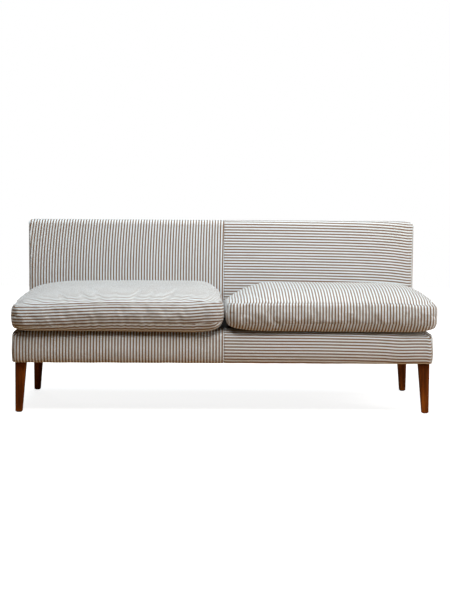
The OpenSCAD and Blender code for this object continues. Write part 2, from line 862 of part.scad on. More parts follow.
// The zip: its tape lies behind the border, and the closed row of teeth stands in the slot
tape_y = cushion_rear_y - cloth_t;

module cushion_zip(side) {
  color("gray") on_cushion(side) translate([0, tape_y, zip_z]) {
    block([-zip_half_l, -tape_t, -zip_slot_h / 2 - tape_lap], [zip_half_l, 0, zip_slot_h / 2 + tape_lap]);
    block([-zip_half_l, -tape_t, -teeth_h / 2], [zip_half_l, teeth_rise, teeth_h / 2]);
  }
}

// The slider straddles the teeth, and its pull hangs on a bridge
module zip_slider(side) {
  flange_in = teeth_h / 2 + slider_play;
  flange_out = zip_slot_h / 2 - slider_play;
  plate_low = cloth_t + slider_play;
  plate_high = plate_low + slider_t;
  color("darkgray") on_cushion(side) translate([-zip_half_l, tape_y, zip_z]) {
    difference() {
      block([0, slider_play, -flange_out], [slider_l, plate_high, flange_out]);
      block([-overrun, 0, -flange_in], [slider_l + overrun, plate_low, flange_in]);
    }
    block([slider_l, plate_high - slider_t, -pull_w / 2], [slider_l + pull_l, plate_high - slider_t + pull_t,
          pull_w / 2]);
  }
}

front_post(left);  // front_left_corner_post
front_post(right);  // front_right_corner_post
back_post(left);  // left_back_post
back_post(right);  // right_back_post
seat_rail(frame_front_y);  // front_rail
seat_rail(back_frame_y);  // rear_rail
side_rail(left);  // left_side_rail
side_rail(right);  // right_side_rail
centre_cross_rail();
back_top_rail();
back_lower_rail();
back_centre_stud();
leg(left, front);  // front_left_leg
leg(right, front);  // front_right_leg
leg(left, rear);  // rear_left_leg
leg(right, rear);  // rear_right_leg
leg_bolts();
leg_inserts();
leg_glides();
on_seat() straps_along_v(seat_us, seat_vs, seat_half_v);  // seat_long_straps
on_seat() straps_along_u(seat_us, seat_vs, seat_half_u);  // seat_cross_straps
on_back() straps_along_v(back_us, back_vs, back_half_v);  // back_upright_straps
on_back() straps_along_u(back_us, back_vs, back_half_u);  // back_cross_straps
seat_hessian();
back_hessian();
deck_foam();
back_foam();
front_wadding();
side_wadding(left);  // left_side_wadding
side_wadding(right);  // right_side_wadding
back_top_wadding();
back_side_wadding(left);  // back_left_wadding
back_side_wadding(right);  // back_right_wadding
back_rear_wadding();
base_cover(left);  // base_left_cover
base_cover(right);  // base_right_cover
base_side_cover(left);  // base_left_side_cover
base_side_cover(right);  // base_right_side_cover
deck_cloth();
dust_cloth();
back_cover(left);  // back_left_cover
back_cover(right);  // back_right_cover
back_side_panel(left);  // back_left_side_panel
back_side_panel(right);  // back_right_side_panel
outside_back(left);  // outside_back_left
outside_back(right);  // outside_back_right
cushion_top_panel(left);  // left_cushion_top_panel
cushion_border(left);  // left_cushion_border
cushion_bottom_panel(left);  // left_cushion_bottom_panel
cushion_pad(left);  // left_cushion_pad
cushion_zip(left);  // left_cushion_zip
zip_slider(left);  // left_zip_slider
cushion_top_panel(right);  // right_cushion_top_panel
cushion_border(right);  // right_cushion_border
cushion_bottom_panel(right);  // right_cushion_bottom_panel
cushion_pad(right);  // right_cushion_pad
cushion_zip(right);  // right_cushion_zip
zip_slider(right);  // right_zip_slider
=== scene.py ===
import math
import bpy
import numpy as np
from mathutils import Matrix


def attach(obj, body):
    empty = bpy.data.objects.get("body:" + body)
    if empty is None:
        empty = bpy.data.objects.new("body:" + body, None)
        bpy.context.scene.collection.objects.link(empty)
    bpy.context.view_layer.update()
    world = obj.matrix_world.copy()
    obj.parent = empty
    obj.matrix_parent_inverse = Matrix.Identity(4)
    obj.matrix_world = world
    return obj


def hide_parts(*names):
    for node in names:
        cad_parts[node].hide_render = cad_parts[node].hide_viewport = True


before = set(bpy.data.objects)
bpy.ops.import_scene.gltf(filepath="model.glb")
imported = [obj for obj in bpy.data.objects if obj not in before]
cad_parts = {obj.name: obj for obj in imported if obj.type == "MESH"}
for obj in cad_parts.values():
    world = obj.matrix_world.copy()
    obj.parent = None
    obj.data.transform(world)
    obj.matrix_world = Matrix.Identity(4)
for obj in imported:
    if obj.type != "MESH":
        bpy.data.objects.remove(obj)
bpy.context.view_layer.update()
mm = 0.001
join = np.concatenate
print("frame loaded:", len(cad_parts), "parts")


def ramp(a, b, x):
    # smooth step: 0 before a, 1 after b, a cubic between
    t = np.clip((x - a) / (b - a), 0, 1)
    return t * t * (3 - 2 * t)


def rise(share, power=2):
    # a superellipse quarter: from 0 with a steep start to 1 with a level end
    return np.maximum(1 - (1 - np.clip(share, 0, 1)) ** power, 0) ** (1 / power)


def spaced(a, b, step):
    # even steps from a to b, about step apart
    return np.linspace(a, b, max(2, int(round(abs(b - a) / step)) + 1))


def lengthAlong(points, axis):
    # running length along a grid's lines in one direction
    return np.cumsum(np.insert(np.linalg.norm(np.diff(points, axis=axis), axis=2), 0, 0, axis), axis)


def outward(points, turn=1):
    # unit normals of a grid: the cross product of its two directions
    n = np.cross(np.gradient(points, axis=0), np.gradient(points, axis=1)) * turn
    return n / np.maximum(np.linalg.norm(n, axis=2, keepdims=True), 1e-9)


def waves(u, v, size, seed):
    # a soft relief: the mean of six sines, each with its own direction, phase and length near size
    rng = np.random.default_rng(seed)
    total = 0
    for turn, stretch, phase in rng.uniform((0, 0.6, 0), (math.pi, 1.7, 6.28), (6, 3)):
        total = total + np.sin(2 * math.pi * (u * math.cos(turn) + v * math.sin(turn)) / (size * stretch) + phase)
    return total / 6


def gridFaces(numbers, turn=1):
    # four-sided faces of a grid of vertex numbers
    a, b, c, d = numbers[:-1, :-1], numbers[1:, :-1], numbers[1:, 1:], numbers[:-1, 1:]
    return np.stack([a, b, c, d] if turn > 0 else [a, d, c, b], -1).reshape(-1, 4)


def boxGrid(x, y, z):
    # three coordinates, each a number, row or column, as one grid of points
    return np.stack(np.broadcast_arrays(x, y, z), -1).astype(float)


def inMetres(sizes):
    # a dictionary of sizes in millimetres, turned into metres
    def turned(value):
        return tuple(map(turned, value)) if isinstance(value, tuple) else value * mm

    return {key: turned(value) for key, value in sizes.items()}


def camel(node):
    # a node's name as a piece's: dust_cloth becomes dustCloth
    first, *others = node.split("_")
    return first + "".join(word.capitalize() for word in others)


def inScene(name, data):
    # a new object, linked to the scene
    thing = bpy.data.objects.new(name, data)
    bpy.context.scene.collection.objects.link(thing)
    return thing


def newMesh(name, points, faces):
    mesh = bpy.data.meshes.new(name)
    mesh.from_pydata(points, [], faces)
    return mesh


def makePiece(node, points, faces, finish, body="frame", uv=None, wear=None, name=None):
    # the smooth-shaded piece that stands for a node; uv and wear: one value for each vertex
    name = name or camel(node)
    mesh = newMesh(name, points.tolist(), [f for part in faces for f in part.tolist()])
    if uv is not None:
        corners = np.zeros(len(mesh.loops), np.int32)
        mesh.loops.foreach_get("vertex_index", corners)
        mesh.uv_layers.new(name="cloth").data.foreach_set("uv", uv[corners].astype(np.float32).ravel())
    if wear is not None:
        mesh.attributes.new("wear", "FLOAT", "POINT").data.foreach_set("value", wear.astype(np.float32))
    mesh.polygons.foreach_set("use_smooth", np.ones(len(mesh.polygons), bool))
    mesh.update()
    mesh.materials.append(finish)
    piece = inScene(name, mesh)
    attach(piece, body)
    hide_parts(node)
    return piece


def thicken(piece, thickness):
    # makes a cloth a closed shell, inwards
    shell = piece.modifiers.new("thickness", "SOLIDIFY")
    shell.thickness, shell.offset, shell.use_rim = thickness, -1, True


def toLight(colour):
    # scene light from a display colour of 0 to 255; one or four numbers are light already
    if np.size(colour) != 3:
        return tuple(colour) if np.size(colour) == 4 else (colour, colour, colour, 1)
    c = np.array(colour, float) / 255
    return tuple(np.where(c <= 0.04045, c / 12.92, ((c + 0.055) / 1.055) ** 2.4)) + (1.0,)


class Nodes:
    # a node tree: each method adds a node and returns its output

    def __init__(self, name, world=None):
        self.owner = world or bpy.data.materials.new(name)
        self.owner.use_nodes = True
        self.tree = self.owner.node_tree
        self.last = self.tree.nodes["World Output" if world else "Principled BSDF"]

    def add(self, kind, values=(), **settings):
        node = self.tree.nodes.new(kind)
        for key, value in settings.items():
            setattr(node, key, value)
        for key, value in dict(values).items():
            self.put(node.inputs[key], value)
        return node

    def put(self, socket, value):
        if isinstance(value, bpy.types.NodeSocket):
            self.tree.links.new(value, socket)
        else:
            socket.default_value = value

    def place(self):
        return self.add("ShaderNodeTexCoord").outputs["Object"]

    def math(self, kind, a, b=0.0):
        return self.add("ShaderNodeMath", {0: a, 1: b}, operation=kind).outputs[0]

    def plus(self, a, b):
        return self.math("ADD", a, b)

    def times(self, a, b):
        return self.math("MULTIPLY", a, b)

    def blend(self, a, share, b):
        return self.plus(self.times(a, share), self.times(b, 1 - share))

    def noise(self, place, scale, detail=3.0, rough=0.55):
        # scale: one number, or three that draw the noise out
        if not isinstance(scale, float):
            place, scale = self.add("ShaderNodeMapping", {"Vector": place, "Scale": scale}).outputs[0], 1.0
        return self.add("ShaderNodeTexNoise", {"Vector": place, "Scale": scale, "Detail": detail,
                                               "Roughness": rough}).outputs["Fac"]

    def spread(self, value, start=0, end=1, low=0, high=1):
        return self.add("ShaderNodeMapRange", {"Value": value, "From Min": start, "From Max": end,
                                               "To Min": low, "To Max": high}).outputs[0]

    def ramp(self, factor, *stops):
        node = self.add("ShaderNodeValToRGB", {"Fac": factor})
        while len(node.color_ramp.elements) < len(stops):
            node.color_ramp.elements.new(0.5)
        for element, (at, colour) in zip(node.color_ramp.elements, stops):
            element.position, element.color = at, toLight(colour)
        return node.outputs["Color"]

    def mix(self, factor, a, b, kind="MIX"):
        node = self.add("ShaderNodeMix", data_type="RGBA", blend_type=kind)
        for socket, value in zip([s for s in node.inputs if s.enabled], (factor, a, b)):
            self.put(socket, value)
        return [s for s in node.outputs if s.enabled][0]

    def bump(self, height, distance, strength, below=None):
        values = {"Height": height, "Distance": distance, "Strength": strength}
        if below is not None:
            values["Normal"] = below
        return self.add("ShaderNodeBump", values).outputs[0]

    def finish(self, **sockets):
        for key, value in sockets.items():
            self.put(self.last.inputs[key.replace("_", " ")], value)
        return self.owner


ticking = {
    "period": 12.7 * mm,  # one pale and one brown stripe
    "pale": (217, 226, 230),
    "paleShade": (198, 209, 216),  # a thin thread line inside the pale stripe
    "brown": (126, 98, 76),
    "brownDark": (103, 74, 55),  # thread lines along the brown stripe's edges
    "brownShare": 0.48,
    "edgeSoftness": 0.03,
    "threads": 0.85 * mm,  # pitch of the weave
    "weaveDepth": 0.16 * mm,
    "creaseDepth": 1.4 * mm,
    "wander": 1.0 * mm,  # how far a stripe strays from straight
    "fray": 0.45 * mm,  # how far single threads stray at a stripe's edge
    "roughness": 0.8, "sheen": 0.5,
}


def tickingMaterial(name, look):
    # stripes across the first cloth coordinate and a warp-faced weave with slubs, in metres of cloth
    n = Nodes(name)
    uv = n.add("ShaderNodeUVMap", uv_map="cloth").outputs[0]
    across, along = n.add("ShaderNodeSeparateXYZ", {0: uv}).outputs[:2]
    stray = n.math("SUBTRACT", n.noise(uv, (26, 9, 1), 2.0), 0.5)
    fray = n.math("SUBTRACT", n.noise(uv, (900, 420, 1), 1.0), 0.5)
    place = n.plus(across, n.plus(n.times(stray, look["wander"]), n.times(fray, look["fray"])))
    phase = n.math("FRACT", n.math("DIVIDE", place, look["period"]))
    low, soft = (1 - look["brownShare"]) / 2, look["edgeSoftness"]
    pale, shade, brown, dark = [look[key] for key in ("pale", "paleShade", "brown", "brownDark")]
    half = [(0, pale), (low * 0.42, pale), (low * 0.5, shade), (low * 0.58, pale), (low - soft, pale),
            (low + soft, dark), (low + 2.6 * soft, brown)]
    stripe = n.ramp(phase, *half, *[(1 - at, tone) for at, tone in reversed(half)])
    slub = n.noise(uv, (1500, 110, 1), 2.0)
    tone = n.ramp(slub, (0.28, 0.86), (0.72, 1))
    worn = n.ramp(n.noise(uv, (7, 5, 1)), (0.3, (0.95, 0.945, 0.94, 1)), (0.7, 1))
    colour = n.mix(1.0, n.mix(1.0, stripe, tone, "MULTIPLY"), worn, "MULTIPLY")
    turn = 2 * math.pi / look["threads"]
    warp = n.math("SINE", n.times(across, turn))
    weft = n.math("SINE", n.times(n.plus(along, n.times(across, 0.5)), turn * 0.8))
    weave = n.plus(n.times(warp, n.plus(weft, 1.0)), n.times(slub, 2.0))
    fine = n.bump(weave, look["weaveDepth"], 0.5)
    slow = n.bump(n.noise(uv, (34, 22, 1)), look["creaseDepth"], 0.5, fine)
    rough = n.spread(slub, low=look["roughness"] - 0.07, high=look["roughness"] + 0.08)
    return n.finish(Base_Color=colour, Roughness=rough, Normal=slow, Sheen_Weight=look["sheen"],
                    Sheen_Roughness=0.45, Specular_IOR_Level=0.3)


plainCloths = {
    # light and dark tone, pitch of the threads and depth of the weave
    # the platform cloth's two tones are made dark as painted shade, so that the deck seen between and under the
    # cushions reads as shade
    "platformPaintedShade": ("platformLinenPaintedShade", (34, 29, 25), (19, 16, 14), 1.1 * mm, 0.22 * mm),
    "dust": ("dustCloth", (46, 44, 43), (24, 23, 23), 1.6 * mm, 0.1 * mm),
    "hessian": ("jute", (172, 138, 92), (104, 78, 48), 2.6 * mm, 0.5 * mm),
    "webbing": ("webbingWeave", (82, 70, 58), (38, 33, 29), 2.2 * mm, 0.4 * mm),
}


def wovenMaterial(name, light, dark, pitch, depth):
    # a plain weave with uneven tone: threads along X and along Y + Z
    n = Nodes(name)
    place = n.place()
    x, y, z = n.add("ShaderNodeSeparateXYZ", {0: place}).outputs
    turn = 2 * math.pi / pitch
    a, b = n.math("SINE", n.times(x, turn)), n.math("SINE", n.times(n.plus(y, z), turn))
    mixed = n.plus(n.times(n.times(a, b), 0.22), n.noise(place, (60, 420, 420)))
    colour = n.ramp(mixed, (0.25, dark), (0.75, light))
    return n.finish(Base_Color=colour, Roughness=0.9, Normal=n.bump(mixed, depth, 0.7))


timbers = {
    "leg": {"deep": (46, 18, 1), "mid": (96, 45, 4), "light": (136, 74, 16), "rough": 0.5},
    "frame": {"deep": (150, 112, 72), "mid": (194, 158, 112), "light": (222, 190, 146), "rough": 0.62},
}


def timberMaterial(name, look, along, worn=False):
    # noise drawn out along the part's length, with finer pores and slow clouds over it
    n = Nodes(name)
    place = n.place()
    scale = [5.0 if axis == along else 78.0 for axis in "XYZ"]
    band = n.noise(place, scale, 5.0, 0.62)
    pores = n.noise(place, [6.5 * s for s in scale], 2.0)
    tone = n.blend(band, 0.75, n.noise(place, (9, 9, 5), 2.0))
    colour = n.ramp(tone, (0.3, look["deep"]), (0.5, look["mid"]), (0.68, look["light"]))
    dark = n.ramp(pores, (0.36, (0.55, 0.5, 0.46, 1)), (0.46, 1))
    colour = n.mix(0.8, colour, dark, "MULTIPLY")
    if worn:
        edge = n.add("ShaderNodeAttribute", attribute_name="wear").outputs["Fac"]
        colour = n.mix(n.times(edge, n.noise(place, (120, 120, 60))), colour, toLight(look["light"]))
    height = n.plus(n.times(band, 0.5), pores)
    return n.finish(Base_Color=colour, Roughness=n.spread(band, low=look["rough"] - 0.06, high=look["rough"] + 0.12),
                    Normal=n.bump(height, 0.12 * mm, 0.6), Specular_IOR_Level=0.14)


def paddingMaterial(name, light, dark, cell, depth):
    # foam or wadding: open cells from a fine noise over a slow cloud
    n = Nodes(name)
    place = n.place()
    cells = n.noise(place, 1 / cell, 2.0, 0.7)
    tone = n.blend(cells, 0.6, n.noise(place, 14.0))
    colour = n.ramp(tone, (0.34, dark), (0.64, light))
    return n.finish(Base_Color=colour, Roughness=0.95, Normal=n.bump(cells, depth, 0.8))


def hardMaterial(name, light, dark, rough, metal=0.0):
    # metal or moulded plastic: fine scuffs in tone and gloss
    n = Nodes(name)
    place = n.place()
    scuff = n.noise(place, 900.0, 3.0, 0.6)
    tone = n.blend(scuff, 0.5, n.noise(place, 60.0, 2.0))
    colour = n.ramp(tone, (0.32, dark), (0.66, light))
    return n.finish(Base_Color=colour, Roughness=n.spread(scuff, low=rough - 0.06, high=rough + 0.1), Metallic=metal,
                    Normal=n.bump(scuff, 0.02 * mm, 0.5))


finishes = {
    "ticking": tickingMaterial("stripedTicking", ticking),
    "leg": timberMaterial("stainedHardwood", timbers["leg"], "Z", worn=True),
    "foam": paddingMaterial("foam", (236, 222, 176), (206, 186, 136), 1.6 * mm, 0.5 * mm),
    "wadding": paddingMaterial("wadding", (240, 238, 230), (208, 205, 196), 4 * mm, 1.2 * mm),
    "steel": hardMaterial("boltSteel", (188, 190, 194), (132, 134, 138), 0.34, 1.0),
    "brass": hardMaterial("insertBrass", (206, 168, 88), (158, 120, 54), 0.3, 1.0),
    "glide": hardMaterial("glidePlastic", (66, 58, 52), (40, 35, 31), 0.5),
    "nylon": hardMaterial("zipNylon", (206, 202, 194), (170, 165, 156), 0.48),
    "slider": hardMaterial("sliderMetal", (176, 170, 160), (118, 112, 104), 0.32, 1.0),
}
finishes |= {key: wovenMaterial(*look) for key, look in plainCloths.items()}
for axis, way in zip("XYZ", ("Across", "Deep", "Upright")):
    finishes["rail" + axis] = timberMaterial("frameTimber" + way, timbers["frame"], axis)

# parts that keep the frame's shape, by finish
carriedOver = {
    "railX": ["front_rail", "rear_rail", "back_top_rail", "back_lower_rail"],
    "railY": ["left_side_rail", "right_side_rail", "centre_cross_rail"],
    "railZ": ["front_left_corner_post", "front_right_corner_post", "left_back_post", "right_back_post",
              "back_centre_stud"],
    "steel": ["leg_bolts"],
    "brass": ["leg_inserts"],
    "glide": ["leg_glides"],
    "webbing": ["seat_long_straps", "seat_cross_straps", "back_upright_straps", "back_cross_straps"],
    "hessian": ["seat_hessian", "back_hessian"],
    "foam": ["deck_foam", "back_foam"],
    "wadding": ["front_wadding", "left_side_wadding", "right_side_wadding", "back_top_wadding",
                "back_left_wadding", "back_right_wadding", "back_rear_wadding"],
    "nylon": ["left_cushion_zip", "right_cushion_zip"],
    "slider": ["left_zip_slider", "right_zip_slider"],
}
for finish, names in carriedOver.items():
    for name in names:
        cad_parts[name].data.materials.clear()
        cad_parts[name].data.materials.append(finishes[finish])
print("materials ready:", len(finishes))


leg = inMetres({
    "outerX": 863, "frontY": -326, "rearY": 340, "foot": 3, "top": 210,
    "topWidth": 45, "footWidth": 28,
    "arris": 2.6,  # rounding of the four long edges
    # rows above the foot, and how far each is eased
    "footRows": (0, 0.4, 1.2, 3), "footEase": (1.3, 0.6, 0.15, 0), "rowStep": 9,
    "rubbed": 16,  # height of the rubbed foot
}) | {"columns": 72}
sides = ((-1, "left"), (1, "right"))


def makeLeg(node, side, end):
    # a rounded square carried up the leg: outer faces upright, inner faces tapered to the foot
    rows = np.array(leg["footRows"])
    z = leg["foot"] + np.append(rows[:3], spaced(rows[3], leg["top"] - leg["foot"], leg["rowStep"]))
    up = (z - leg["foot"]) / (leg["top"] - leg["foot"])
    half = ((leg["footWidth"] + (leg["topWidth"] - leg["footWidth"]) * up) / 2)[:, None]
    ease = 1 - np.interp(z - leg["foot"], rows, leg["footEase"])[:, None] / half
    turn = (np.arange(leg["columns"]) + 0.5) * 2 * math.pi / leg["columns"]
    reach = np.maximum(np.abs(np.cos(turn)), np.abs(np.sin(turn)))
    x, y = np.cos(turn) / reach * half, np.sin(turn) / reach * half
    ex, ey = [np.maximum(np.abs(p) - (half - leg["arris"]), 0) for p in (x, y)]
    pull = np.where((ex > 0) & (ey > 0), leg["arris"] / np.maximum(np.hypot(ex, ey), 1e-9), 1)
    x, y = [np.sign(p) * (np.minimum(np.abs(p), half - leg["arris"]) + e * pull) * ease
            for p, e in ((x, ex), (y, ey))]
    x = x + side * (leg["outerX"] - half)
    y = y + (leg["frontY"] + half if end < 0 else leg["rearY"] - half)
    points = boxGrid(x, y, z[:, None])
    worn = ramp(0.4 * leg["arris"], 1.2 * leg["arris"], np.minimum(ex, ey))
    worn = np.clip(worn + 0.7 * ramp(leg["rubbed"], 2 * mm, points[..., 2] - leg["foot"]), 0, 1)
    numbers = np.arange(x.size).reshape(x.shape)
    numbers = join([numbers, numbers[:, :1]], 1)
    foot, top = [np.full(leg["columns"], x.size + k) for k in (0, 1)]  # poles that close the two ends
    caps = [np.stack(corners, -1) for corners in ((numbers[0, 1:], numbers[0, :-1], foot),
                                                  (numbers[-1, :-1], numbers[-1, 1:], top))]
    makePiece(node, join([points.reshape(-1, 3), points[[0, -1]].mean(axis=1)]),
              [gridFaces(numbers, -1)] + caps, finishes["leg"],
              wear=join([worn.ravel(), [0, 0]]))


for end, place in ((-1, "front"), (1, "rear")):
    for side, label in sides:
        makeLeg(f"{place}_{label}_leg", side, end)
print("legs made")


base = inMetres({
    "halfWidth": 875, "front": -338, "rear": 238.1, "bottom": 210, "top": 347.3,
    "leftEnd": (30, 30), "rightEnd": (48, 31),  # width and drop of the top's two ends
    "frontEdge": 44, "rearEdge": 0, "upright": 20, "swell": 0,
    "hem": 26, "hemR": 7, "seamX": 3,
    "bulge": (3, 7.5),  # how far the sides and the front stand out
    "bulgeZ": (211.5, 320.3), "bulgeRise": 34, "bulgeHold": 38,
    "lip": 110,  # depth of the striped lip on the deck
    "cornerSeam": (871, 849, 821),  # low on the face, at its top and on the deck
    "cornerStart": 316, "mitre": 28,
})
back = inMetres({
    "halfWidth": 875, "front": 238.1, "rear": 352, "bottom": 210, "top": 790,
    "leftEnd": (16, 16), "rightEnd": (40, 18),
    "frontEdge": 22, "rearEdge": 22, "upright": 18, "swell": 8,
    "hem": 26, "hemR": 7, "seamX": 11,
    "tuck": 322.3, "outerSeam": 330,
})
covering = inMetres({
    "thickness": 1.8,
    "relief": 0.9, "reliefFade": 26,  # the soft unevenness
    "seamDepth": 1.5, "seamWidth": 2.4,
    "seamRoll": 0.5, "rollPlace": 7, "rollWidth": 4,  # the cloth's roll beside a seam
    "pucker": 0.45, "puckerPitch": 17, "puckerStart": 5, "puckerReach": 13,
    "strayLength": 90,
}) | {"stray": 2.2}  # how unevenly the puckers follow each other


def frontSwell(form, z):
    # a half sine from the deck's height to the top edge
    low, high = base["top"], form["top"] - form["frontEdge"]
    return form["swell"] * np.sin(math.pi * np.clip((z - low) / (high - low), 0, 1))


def inside(q, inset, form):
    # whether points lie inside rounded profiles from the front, from the side and in plan
    x, y, z = q[..., 0], q[..., 1], q[..., 2]
    wide = form["halfWidth"] - inset
    top, upright, front, rear = [form[key] for key in ("top", "upright", "frontEdge", "rearEdge")]

    def excess(value, edge, r):
        r = np.maximum(r - inset, 3 * mm)
        return np.maximum(value - (edge - r), 0) / r

    y0, y1 = form["front"] + inset, form["rear"] - inset
    (left, drop), (right, fall) = form["leftEnd"], form["rightEnd"]
    swelled = form["swell"] - frontSwell(form, z)
    corners = [(-x, wide, left, z, top, drop), (x, wide, right, z, top, fall), (-y, -y0, front, z, top, front),
               (np.abs(x), wide, upright, -y, swelled - y0, upright)]
    if rear:
        corners += [(y, y1, rear, z, top, rear), (np.abs(x), wide, upright, y, y1, upright)]
    return np.all([excess(a, p, r) ** 2 + excess(b, q, s) ** 2 <= 1 for a, p, r, b, q, s in corners], axis=0)


def roundOff(p, inset, form):
    # slides a box's points towards its core until they lie inside the profiles, by halving the step; then the
    # front swells
    inset = inset + 0 * p[..., 0]
    low = np.array([form["leftEnd"][0] - form["halfWidth"], form["front"] + form["frontEdge"], -1])
    high = np.array([form["halfWidth"] - form["rightEnd"][0],
                     form["rear"] + (0 if form["rearEdge"] else 1) - (form["rearEdge"] + mm),
                     form["top"] - max(form["frontEdge"], form["rightEnd"][1])])
    core = np.clip(p, low, high)
    reach = np.zeros(p.shape[:2])
    for step in 0.5 ** np.arange(18):
        further = np.minimum(reach + step, 1)
        reach = np.where(inside(core + (p - core) * further[..., None], inset, form), further, reach)
    q = core + (p - core) * reach[..., None]
    q[..., 1] -= frontSwell(form, q[..., 2]) * ramp(300 * mm, 240 * mm, q[..., 1])
    return q


def roundBase(p, inset):
    # the walls also bulge: the sides as a half sine of the height, the front with a quick curve out above the hem
    # and a slow one back in
    q = roundOff(p, inset, base)
    away = np.stack([np.maximum(np.abs(q[..., 0]) - (base["halfWidth"] - base["upright"]), 0),
                     np.maximum(base["front"] + base["upright"] - q[..., 1], 0)])
    away = away / np.maximum(np.hypot(*away), 1e-6)
    z, (low, high) = q[..., 2], base["bulgeZ"]
    ends = np.sin(math.pi * np.clip((z - low) / (high - low), 0, 1))
    front = rise((z - low) / base["bulgeRise"]) * ramp(high, low + base["bulgeHold"], z)
    amount = base["bulge"][0] * ends * away[0] ** 2 + base["bulge"][1] * front * away[1] ** 2
    q[..., 0] += np.sign(q[..., 0]) * away[0] * amount
    q[..., 1] -= away[1] * amount
    return q


def riseRows(form):
    # a cover's insets and heights, from the hem's inner edge round the lower edge and up the face
    a = np.linspace(0, math.pi / 2, 6)[1:-1]
    r = form["hemR"]
    face = spaced(form["bottom"] + r, form["top"], 4 * mm)
    inset = join([np.linspace(form["hem"], r, 5), r - r * np.sin(a), 0 * face])
    return inset, join([np.full(5, form["bottom"]), form["bottom"] + r - r * np.cos(a), face])


# shares of a half width, closer together towards the end
widthShares = join([spaced(0, 0.94, 0.006), spaced(0.94, 1, 0.0022)[1:]])[:, None]


def halfway(side, seam, end):
    # columns from the centre seam to a side's end
    return seam + widthShares * (side * end - seam)


def seamLift(gap, look):
    # a groove and a roll of cloth beside it, as bell curves of the distance
    return look["seamRoll"] * np.exp(-((gap - look["rollPlace"]) / look["rollWidth"]) ** 2) \
        - look["seamDepth"] * np.exp(-(gap / look["seamWidth"]) ** 2)


def puckers(gap, along, look, seed):
    # a sine along a seam with a straying beat, strongest near the seam
    beat = 2 * math.pi * along / look["puckerPitch"]
    beat = beat + look["stray"] * waves(along, 0, look["strayLength"], seed)
    return look["pucker"] * np.sin(beat) * np.exp(-gap / look["puckerReach"]) * ramp(0, look["puckerStart"], gap)


def dress(points, turn, seams, seed):
    # a soft relief, seams and puckers, all along the normals
    lu, lv = lengthAlong(points, 0), lengthAlong(points, 1)
    gaps = {"u0": (lu, lv), "u1": (lu[-1:] - lu, lv), "v0": (lv, lu), "v1": (lv[:, -1:] - lv, lu)}
    lift = covering["relief"] * (0.6 + waves(lu, lv, 170 * mm, seed) + 0.5 * waves(lu, lv, 60 * mm, seed + 1))
    for gap, _ in gaps.values():
        lift = lift * ramp(0, covering["reliefFade"], gap)
    for k, edge in enumerate(seams):
        gap, along = gaps[edge]
        strength = 0.5 + waves(along, 0, 140 * mm, seed + k + 9)
        lift = lift + seamLift(gap, covering) + puckers(gap, along, covering, seed + k + 5) * strength
    return points + outward(points, turn) * lift[..., None], lu, lv


def makeCover(node, points, turn, stripes, seed, shift=None, seams=("u0", "u1", "v1"), finish="ticking"):
    # one cut of cloth: its stripes run up along the second grid direction, or level along the first
    dressed, lu, lv = dress(points, turn, seams, seed)
    across, along = {"up": (lu, lv), "upFromEnd": (lu[-1:] - lu, lv), "level": (lv, lu)}[stripes]
    if shift is not None:
        across = across + shift(points)
    uv = np.stack([across, along], -1).reshape(-1, 2)
    numbers = np.arange(lu.size).reshape(lu.shape)
    piece = makePiece(node, dressed.reshape(-1, 3), [gridFaces(numbers, turn)], finishes[finish], uv=uv)
    thicken(piece, covering["thickness"])


def cornerSeam(z):
    # the side seam on the front: straight up, then inwards
    return np.interp(z, (base["cornerStart"], base["top"]), base["cornerSeam"][:2])


def baseFront(side):
    # half of the front with its hem and the lip on the deck
    inset, z = riseRows(base)
    _, mid, high = base["cornerSeam"]
    s = np.linspace(0, 1, 9)[1:]
    deck = spaced(base["front"] + base["mitre"], base["front"] + base["lip"], 6 * mm)[1:]
    y = join([base["front"] + inset, base["front"] + base["mitre"] * s, deck])
    end = join([cornerSeam(z) - inset, mid - (mid - high) * s, np.full(len(deck), high)])
    inset = join([inset, 0 * s, 0 * deck])
    z = join([z, np.full(len(s) + len(deck), base["top"])])
    return roundBase(boxGrid(halfway(side, base["seamX"], end), y, z), inset)


def baseSide(side):
    # a side with its hem, from the corner seam round the corner and back, and onto the deck
    inset, z = riseRows(base)
    _, mid, high = base["cornerSeam"]
    s = np.linspace(0, 1, 13)[1:]
    edge = base["halfWidth"] - (base["halfWidth"] - high - 2 * mm) * s
    y = join([base["front"] + inset, base["front"] + base["mitre"] * s])
    start = join([cornerSeam(z) - inset, mid - (mid - high) * s])
    edge = join([base["halfWidth"] - inset, edge])
    inset = join([inset, 0 * s])
    z = join([z, np.full(len(s), base["top"])])
    turnIn = np.linspace(0, 1, 7)[:-1, None]
    run = join([spaced(0, 0.05, 0.006), spaced(0.05, 1, 0.0105)[1:]])[:, None]
    x = join([start + turnIn * (edge - start), edge + 0 * run])
    y = join([y + 0 * turnIn, y + run * (base["rear"] - y)])
    return roundBase(boxGrid(side * x, y, z), inset)


def backFront(side):
    # half of the back's front, from its tuck behind the deck up and over the top to the rear seam
    z = spaced(back["tuck"], back["top"], 4 * mm)
    y = spaced(back["front"], back["outerSeam"], 4 * mm)[1:]
    rows = join([np.full(len(z), back["front"]), y]), join([z, np.full(len(y), back["top"])])
    return roundOff(boxGrid(halfway(side, back["seamX"], back["halfWidth"]), *rows), 0, back)


def backSide(side):
    # a side panel with its hem, from the front to the rear
    inset, z = riseRows(back)
    y = back["front"] + inset + spaced(0, 1, 0.035)[:, None] * (back["rear"] - back["front"] - 2 * inset)
    return roundOff(boxGrid(side * (back["halfWidth"] - inset), y, z), inset, back)


def backRear(side):
    # half of the outside back, from its hem up and over the edge to the top seam
    inset, z = riseRows(back)
    y = spaced(back["rear"], back["outerSeam"], 3 * mm)[1:]
    inset = join([inset, 0 * y])
    y = join([back["rear"] - inset[:len(z)], y])
    z = join([z, np.full(len(inset) - len(z), back["top"])])
    return roundOff(boxGrid(halfway(side, 0, back["halfWidth"] - inset), y, z), inset, back)


period = ticking["period"]


